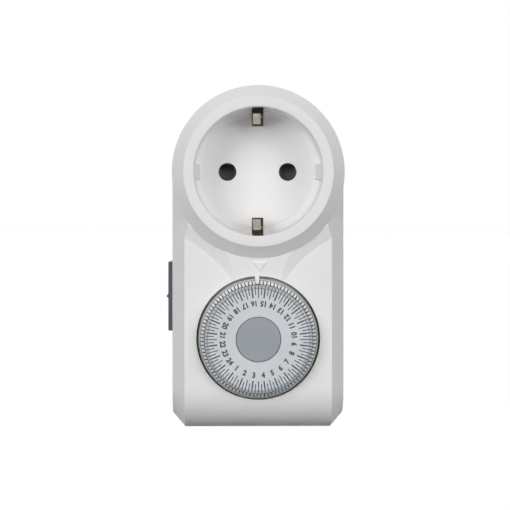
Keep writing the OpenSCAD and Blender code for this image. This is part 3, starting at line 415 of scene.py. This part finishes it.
def finish_piece(piece, material, body, smooth=None):
    """Closes edit mode, mends the normals, and ties the piece to its material and CAD body."""
    bpy.ops.object.mode_set(mode="EDIT")
    bpy.ops.mesh.select_all(action="SELECT")
    bpy.ops.mesh.normals_make_consistent(inside=False)
    bpy.ops.object.mode_set(mode="OBJECT")
    if smooth is not None:
        bpy.ops.object.shade_smooth_by_angle(angle=math.radians(smooth))
    piece.data.materials.clear()
    piece.data.materials.append(material)
    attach(piece, body)
    print(piece.name, "has", len(piece.data.polygons), "faces")


# %% [markdown]
# What repeats is modelled once. A copy gets its own mesh, which a matrix turns or moves into place,
# and at the end the copies are joined into one piece.

# %% Copy and join


def turned(clock):
    """The matrix that turns a piece about the dial's axis by a clock angle in degrees."""
    turn = Matrix.Rotation(math.radians(clock), 4, "Y")
    return Matrix.Translation(DIAL) @ turn @ Matrix.Translation(-DIAL)


def copy_of(piece, matrix):
    """A copy with its own mesh, put in place by the matrix."""
    copy = piece.copy()
    copy.data = piece.data.copy()
    copy.data.transform(matrix)
    scene.collection.objects.link(copy)
    return copy


def join(name, pieces):
    """Joins the pieces into the first one."""
    start_piece()
    for piece in pieces:
        piece.select_set(True)
    bpy.context.view_layer.objects.active = pieces[0]
    bpy.ops.object.join()
    pieces[0].name = pieces[0].data.name = name
    return pieces[0]


# %% [markdown]
# ## The rim of the face
#
# A thin rim stands round the printed face. It keeps fingers that press the tabs off the print, and
# its inner side slopes, so that it is dark at the top, where it turns away from the light, and
# nearly vanishes at the bottom. Its plastic is also darker and bluer than the face, which is
# painted shade that darkens that line all round. A torus would make it round. A short cylinder with
# its caps inset and bridged gives the flat section, and then the two front edges are moved: the
# inner one outwards for the slope, the outer one back, so that the rim falls off towards the
# plate's own bevel. Its foot is sunk a little into the face.

# %% Model the rim
RIM_IN = FACE_R - 0.22 * MM
RIM_TOP_R = FACE_R + 0.12 * MM
RIM_OUT = PLATE_R - 0.04 * MM
RIM_UP = 0.26 * MM
RIM_SUNK = 0.1 * MM
RIM_BACK = RIM_UP + 0.02 * MM
RIM_STEPS = 192

start_piece()
bpy.ops.mesh.primitive_cylinder_add(
    vertices=RIM_STEPS,
    radius=RIM_OUT,
    depth=RIM_UP + RIM_SUNK,
    location=DIAL + Vector((0, FACE_Y - (RIM_UP - RIM_SUNK) / 2, 0)),
    rotation=(math.radians(90), 0, 0),
)
rim = edit_piece("face_rim")
pick("FACE", lambda middle, points: len(points) > 4)
bpy.ops.mesh.inset(thickness=RIM_OUT - RIM_IN, use_boundary=True)
pick("FACE", lambda middle, points: len(points) > 4)
bpy.ops.mesh.delete(type="FACE")
bpy.ops.mesh.select_mode(type="EDGE")
bpy.ops.mesh.select_non_manifold()
bpy.ops.mesh.bridge_edge_loops()


def on_front(radius):
    """A test for edges on the rim's front side, near a radius."""
    return lambda middle, points: all(
        p.y < FACE_Y and abs(math.dist((p.x, p.z), (DIAL.x, DIAL.z)) - radius) < NEAR
        for p in points
    )


print("inner edges:", pick("EDGE", on_front(RIM_IN)))
grow = RIM_TOP_R / RIM_IN
bpy.ops.transform.resize(value=(grow, 1, grow), center_override=DIAL)
print("outer edges:", pick("EDGE", on_front(RIM_OUT)))
bpy.ops.transform.translate(value=(0, RIM_BACK, 0))
finish_piece(rim, M["plate_rim"], "dial", smooth=30)

# %% [markdown]
# ## Printed hours
#
# The face is pad printed: a soft pad lifts grey ink from an etched plate and presses it on. A tick
# stands at every quarter of an hour. The hour's own tick is wide and long, the half hour's is thin
# and long, and the other two are thin and short. An image could carry the print, but ink as thin
# bars stays sharp at any size and needs no picture. The ink lies 0.02 mm over the plastic, and
# where the pad stretches over the rim it is thinner, so it is paler there.

# %% Ink
INK_MM = 0.5
INK_UP = 0.02 * MM
INK_SUNK = 0.01 * MM
INK_THICK = INK_UP + INK_SUNK
INK_Y = FACE_Y - (INK_UP - INK_SUNK) / 2


def pad_ink(name, dark, light):
    """Matt printing ink whose tone varies a little from place to place."""
    material, tree, where = new_material(name)
    cover = spread(tree, noise(tree, where, INK_MM, 3), 0, 1)
    surface = {"Base Color": tinted(tree, cover, dark, light), "Roughness": 0.55}
    shader = add(tree, "BsdfPrincipled", surface)
    add(tree, "OutputMaterial", {"Surface": shader.outputs["BSDF"]})
    return material


M["pad_ink"] = pad_ink("pad_ink", "#32373d", "#40454b")
M["thin_ink"] = pad_ink("thin_ink", "#4e545b", "#5d636a")
print("materials with ink:", len(M))

# %% [markdown]
# A tick is a cube, flattened to a bar at the top of the dial, with its four upright edges bevelled,
# because ink draws back from sharp corners. Its size is its inner radius, outer radius and width in
# millimetres. A bar is modelled once for each of an hour's four quarters, and turned copies of them
# go round the dial. At rest a half hour stands at the top, so the row starts with the half hour.

# %% Ticks
HOURS = 24
TICKS = 4 * HOURS
HOUR_TICK = (12.66, 15.36, 0.42)
HALF_TICK = (12.66, 15.36, 0.28)
SHORT_TICK = (13.6, 15.36, 0.28)
INK_CORNER = 0.3


def ink_bar(name, r_in, r_out, width, y=INK_Y, back=0.0):
    """A bar of ink along the radius at the top of the dial. Its outer end lies further back."""
    start_piece()
    bpy.ops.mesh.primitive_cube_add(
        size=1,
        location=DIAL + Vector((0, y, (r_in + r_out) / 2 * MM)),
        scale=(width * MM, INK_THICK, (r_out - r_in) * MM),
    )
    bar = edit_piece(name)
    pick("EDGE", lambda middle, points: abs(points[0].y - points[1].y) > INK_SUNK)
    bpy.ops.mesh.bevel(offset=INK_CORNER * width * MM, segments=2)
    half_way = DIAL.z + (r_in + r_out) / 2 * MM
    pick("VERT", lambda middle, points: middle.z > half_way)
    bpy.ops.transform.translate(value=(0, back, 0))
    bpy.ops.object.mode_set(mode="OBJECT")
    return bar


quarters = [ink_bar("tick", *size) for size in (HALF_TICK, SHORT_TICK, HOUR_TICK, SHORT_TICK)]
ticks = [copy_of(quarters[k % 4], turned(k * 360 / TICKS)) for k in range(TICKS)]
finish_piece(join("quarter_hour_ticks", ticks), M["pad_ink"], "dial")
for bar in quarters:
    bpy.data.objects.remove(bar)

# %% [markdown]
# The print runs on over the rim, where each tick is two bars. One lies up the rim's inner slope, so
# its outer end comes forward by the rim's height. The other lies down the outer side, so its outer
# end goes back.

# %% Ticks on the rim
SLOPE_TICK = (15.28, 15.62, 0.28)
RIM_TICK = (15.6, 16.4, 0.3)
RIM_TICK_BACK = 0.24 * MM
slope_bar = ink_bar("slope_tick", *SLOPE_TICK, back=-RIM_UP)
rim_bar = ink_bar("rim_tick", *RIM_TICK, y=INK_Y - RIM_UP, back=RIM_TICK_BACK)
bars = [slope_bar, rim_bar]
rim_ticks = [copy_of(bar, turned(k * 360 / TICKS)) for k in range(TICKS) for bar in bars]
finish_piece(join("rim_ticks", rim_ticks), M["thin_ink"], "dial")
for bar in bars:
    bpy.data.objects.remove(bar)

# %% [markdown]
# The numbers stand inside the ticks with their heads towards the middle. They run anticlockwise, so
# that a plate which turns clockwise brings later hours to the pointer. Drawing digits by hand would
# take long and look uneven, so they are set as text, made a mesh, and then scaled to their height
# and laid round the ring. A small offset makes the strokes bold.

# %% Numbers
DIGIT_H = 1.78 * MM
DIGIT_R = 10.95 * MM
DIGIT_SQUEEZE = 0.9
DIGIT_BOLD = 0.045
DIGIT_THICK = 0.01
HOUR_AT_TOP = 15.5

numbers = []
for hour in range(1, HOURS + 1):
    start_piece()
    bpy.ops.object.text_add(location=(0, 0, 0))
    text = bpy.context.object
    text.data.body = str(hour)
    text.data.align_x = "CENTER"
    text.data.align_y = "CENTER"
    text.data.extrude = DIGIT_THICK
    text.data.offset = DIGIT_BOLD
    text.data.resolution_u = 5
    bpy.ops.object.convert(target="MESH")
    digits = bpy.context.object
    low = Vector([min(v.co[i] for v in digits.data.vertices) for i in range(3)])
    high = Vector([max(v.co[i] for v in digits.data.vertices) for i in range(3)])
    tall = DIGIT_H / (high.y - low.y)
    size = Matrix.Diagonal((tall * DIGIT_SQUEEZE, tall, INK_THICK / (high.z - low.z), 1))
    upright = Matrix.Rotation(math.radians(90), 4, "X") @ Matrix.Rotation(math.pi, 4, "Z")
    place = Matrix.Translation(DIAL + Vector((0, INK_Y, DIGIT_R)))
    clock = (HOUR_AT_TOP - hour) * 360 / HOURS
    matrix = turned(clock) @ place @ upright @ size @ Matrix.Translation(-(low + high) / 2)
    digits.data.transform(matrix)
    numbers.append(digits)
finish_piece(join("hour_numbers", numbers), M["pad_ink"], "dial")

# %% [markdown]
# ## Housing screws
#
# Four thread-forming screws hold the two halves of the housing. Each has a pan head with a cross
# recess and a thread that presses its own way into the plastic. A profile could be spun into a
# screw, but neither its cross nor its thread is round. So it starts as a cylinder, the head: the
# face under it is inset and extruded for the shank and its tip, and the edge on top is bevelled
# round. The thread is a small triangle that a Screw modifier winds up the shank, and the cross is
# cut by two tapered blocks with Boolean modifiers.

# %% Screw head and shank
screw_low, screw_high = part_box("housing_screws")
HEAD_R = 2.6 * MM
HEAD_H = 1.8 * MM
HEAD_ROUND = 0.8 * MM
SHANK_R = 1.2 * MM
TIP_L = 2 * MM
TIP_SHARE = 0.2
HEAD_TOP = screw_high.y
screw_at = Vector((screw_low.x + HEAD_R, 0, screw_low.z + HEAD_R))

start_piece()
bpy.ops.mesh.primitive_cylinder_add(
    vertices=48,
    radius=HEAD_R,
    depth=HEAD_H,
    location=screw_at + Vector((0, HEAD_TOP - HEAD_H / 2, 0)),
    rotation=(math.radians(90), 0, 0),
)
screw = edit_piece("screw")
under_head = HEAD_TOP - HEAD_H
pick("FACE", lambda middle, points: middle.y < under_head + NEAR)
bpy.ops.mesh.inset(thickness=HEAD_R - SHANK_R)
shank_l = under_head - screw_low.y - TIP_L
bpy.ops.mesh.extrude_region_move(TRANSFORM_OT_translate={"value": (0, -shank_l, 0)})
bpy.ops.mesh.extrude_region_move(TRANSFORM_OT_translate={"value": (0, -TIP_L, 0)})
bpy.ops.transform.resize(value=(TIP_SHARE, 1, TIP_SHARE), center_override=screw_at)
pick("EDGE", lambda middle, points: all(p.y > HEAD_TOP - NEAR for p in points))
bpy.ops.mesh.bevel(offset=HEAD_ROUND, segments=5)
bpy.ops.object.mode_set(mode="OBJECT")
print("screw faces:", len(screw.data.polygons))

# %% Cross recess
RECESS_DEEP = 1.3 * MM
RECESS_OVER = 0.2 * MM
RECESS_WIDE = 0.62 * MM
RECESS_LONG = 2.7 * MM
RECESS_TAPER = 0.5
for turn in (0, 90):
    start_piece()
    bpy.ops.mesh.primitive_cube_add(
        size=1,
        location=screw_at + Vector((0, HEAD_TOP + (RECESS_OVER - RECESS_DEEP) / 2, 0)),
        rotation=(0, math.radians(turn), 0),
        scale=(RECESS_LONG, RECESS_DEEP + RECESS_OVER, RECESS_WIDE),
    )
    cutter = edit_piece("recess_cutter")
    pick("FACE", lambda middle, points: middle.y < HEAD_TOP - RECESS_DEEP + NEAR)
    bpy.ops.transform.resize(value=(RECESS_TAPER, 1, RECESS_TAPER), center_override=screw_at)
    bpy.ops.object.mode_set(mode="OBJECT")
    start_piece()
    screw.select_set(True)
    bpy.context.view_layer.objects.active = screw
    cut = screw.modifiers.new("recess", "BOOLEAN")
    cut.object = cutter
    cut.operation = "DIFFERENCE"
    bpy.ops.object.modifier_apply(modifier=cut.name)
    bpy.data.objects.remove(cutter)
print("screw faces with its recess:", len(screw.data.polygons))

# %% Thread
PITCH = 1.2 * MM
THREAD_AT = SHANK_R + 0.06 * MM
THREAD_UP = 0.36 * MM
THREAD_L = 8.5 * MM


def wound(name, axis_at, radius, section_r, corners, pitch, length, steps):
    """A ridge or wire: a small section, wound about a Y axis from axis_at by a Screw modifier."""
    start_piece()
    bpy.ops.mesh.primitive_circle_add(vertices=corners, radius=section_r, location=axis_at)
    piece = bpy.context.object
    bpy.ops.object.mode_set(mode="EDIT")
    bpy.ops.transform.translate(value=(radius, 0, 0))
    bpy.ops.object.mode_set(mode="OBJECT")
    wind = piece.modifiers.new("wind", "SCREW")
    wind.axis = "Y"
    wind.screw_offset = pitch
    wind.iterations = round(length / pitch)
    wind.steps = wind.render_steps = steps
    bpy.ops.object.modifier_apply(modifier=wind.name)
    edit_piece(name)
    bpy.ops.mesh.select_all(action="SELECT")
    bpy.ops.mesh.fill_holes(sides=corners)
    bpy.ops.object.mode_set(mode="OBJECT")
    return piece


thread_foot = screw_at + Vector((0, screw_low.y + TIP_L, 0))
thread = wound("thread", thread_foot, THREAD_AT, THREAD_UP, 3, PITCH, THREAD_L, 24)
one_screw = join("screw", [screw, thread])
over_x = screw_high.x - screw_low.x - 2 * HEAD_R
over_z = screw_high.z - screw_low.z - 2 * HEAD_R
places = [Vector((x, 0, z)) for x in (0, over_x) for z in (0, over_z)]
screws = join("screws", [copy_of(one_screw, Matrix.Translation(place)) for place in places])
bpy.data.objects.remove(one_screw)
finish_piece(screws, M["zinc_steel"], "housing", smooth=35)
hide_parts("housing_screws")

# %% [markdown]
# ## The motor's coil
#
# The coil is thousands of turns of enamelled copper wire, 0.06 mm thick. Real turns that fine would
# not show and would make a heavy mesh, so the outer layer is drawn as wire of 0.3 mm, which is as
# coarse as it needs to be to read as a winding. It is wound by the same function as the thread, and
# lies half sunk in the CAD coil, which fills the space below it.

# %% Coil
coil_low, coil_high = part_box("motor_winding")
coil_r = (coil_high.x - coil_low.x) / 2
coil_l = coil_high.y - coil_low.y
WIRE = 0.3 * MM
coil_foot = (coil_low + coil_high) / 2
coil_foot.y = coil_low.y + WIRE / 2
wire = wound("coil_wire", coil_foot, coil_r, WIRE / 2, 6, WIRE, coil_l - WIRE, 72)
finish_piece(wire, M["copper_wire"], "housing", smooth=60)
print("coil: radius %.1f mm, %d turns" % (coil_r / MM, (coil_l - WIRE) / WIRE))

# %% [markdown]
# ## Studio light
#
# White plastic on white paper needs soft light from the front, or it loses its shape. One lamp
# over the camera would be simplest, but two large square lamps, one on each side and a little
# above the object, give a soft shadow under each edge and leave the sides darker than the front.
# The left lamp is stronger, so that the two sides differ. A weaker third lamp stands behind, so
# that the plug and the back are seen as white plastic too when the timer is looked at from there.

# %% Lamps
AIM = Vector((0, -0.05, -0.03))
LAMP_AWAY = 1.9
LAMP_SIZE = 0.95
LAMP_UP = math.radians(12.5)
LAMP_SIDE = math.radians(36)


def soft_box(name, side, energy):
    """A square lamp at an angle to the side, negative for the left, aimed at the object."""
    level = math.cos(LAMP_UP)
    out = Vector((math.sin(side) * level, -math.cos(side) * level, math.sin(LAMP_UP)))
    bpy.ops.object.light_add(type="AREA", location=AIM + LAMP_AWAY * out)
    lamp = bpy.context.object
    lamp.name = name
    lamp.rotation_euler = (-out).to_track_quat("-Z", "Y").to_euler()
    lamp.data.shape = "SQUARE"
    lamp.data.size = LAMP_SIZE
    lamp.data.energy = energy
    print(name, "gives", energy, "W")


soft_box("lamp_left", -LAMP_SIDE, energy=17.3)
soft_box("lamp_right", LAMP_SIDE, energy=13.9)
soft_box("lamp_back", math.pi, energy=7.0)

# %% [markdown]
# ## Background
#
# The background is white paper, far brighter than the light that the object needs. So the world and
# the floor have two strengths: what the camera sees directly, in a reflection or through glass is
# white, and what lights the object is a weak, even fill. The floor adds its glow to a real diffuse
# surface, so that it keeps the object's soft shadow.

# %% World and floor
FILL = 0.225
PAPER_GLOW = 0.97
PAPER_SIZE = 6
FIBRE_MM = 60


def shown_white(tree):
    """1 for what is seen directly, in a gloss or through glass, and 0 for what gives light."""
    path = add(tree, "LightPath").outputs
    either = {0: path["Is Camera Ray"], 1: path["Is Glossy Ray"]}
    seen = add(tree, "Math", either, operation="MAXIMUM").outputs[0]
    any_of_three = {0: seen, 1: path["Is Transmission Ray"]}
    return add(tree, "Math", any_of_three, operation="MAXIMUM").outputs[0]


world = bpy.data.worlds.new("studio")
world.use_nodes = True
sky = world.node_tree
sky.nodes.clear()
scene.world = world
fill = add(sky, "Background", {"Color": (1, 1, 1, 1), "Strength": FILL}).outputs[0]
white = add(sky, "Background", {"Color": (1, 1, 1, 1), "Strength": 1}).outputs[0]
seen_sky = add(sky, "MixShader", {0: shown_white(sky), 1: fill, 2: white}).outputs[0]
add(sky, "OutputWorld", {"Surface": seen_sky})

start_piece()
bpy.ops.mesh.primitive_plane_add(size=PAPER_SIZE, location=(0, 0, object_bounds()[0][2]))
floor = bpy.context.object
floor.name = "floor"
paper, tree, where = new_material("white_paper")
fibre = spread(tree, noise(tree, where, FIBRE_MM, 2), 0, 1)
matt = add(tree, "BsdfDiffuse", {"Color": tinted(tree, fibre, "#565656", "#5c5c5c")}).outputs[0]
glow = add(tree, "Emission", {"Color": (1, 1, 1, 1), "Strength": PAPER_GLOW}).outputs[0]
lit = add(tree, "AddShader", {0: matt, 1: glow}).outputs[0]
seen_paper = add(tree, "MixShader", {0: shown_white(tree), 1: matt, 2: lit}).outputs[0]
add(tree, "OutputMaterial", {"Surface": seen_paper})
floor.data.materials.append(paper)
floor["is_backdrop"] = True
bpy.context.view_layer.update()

# %% [markdown]
# ## Colours as they are
#
# The view is Standard, which shows a colour as it is written, where a film-like view would grey the
# whites. Last, the sizes of the CAD model and of the dressed model are printed side by side.

# %% Sizes and the end
scene.view_settings.view_transform = "Standard"
sizes["visual_box"] = [list(corner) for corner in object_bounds()]
for label, corners in sizes.items():
    print(label, [round((corners[1][i] - corners[0][i]) / MM, 1) for i in range(3)], "mm")
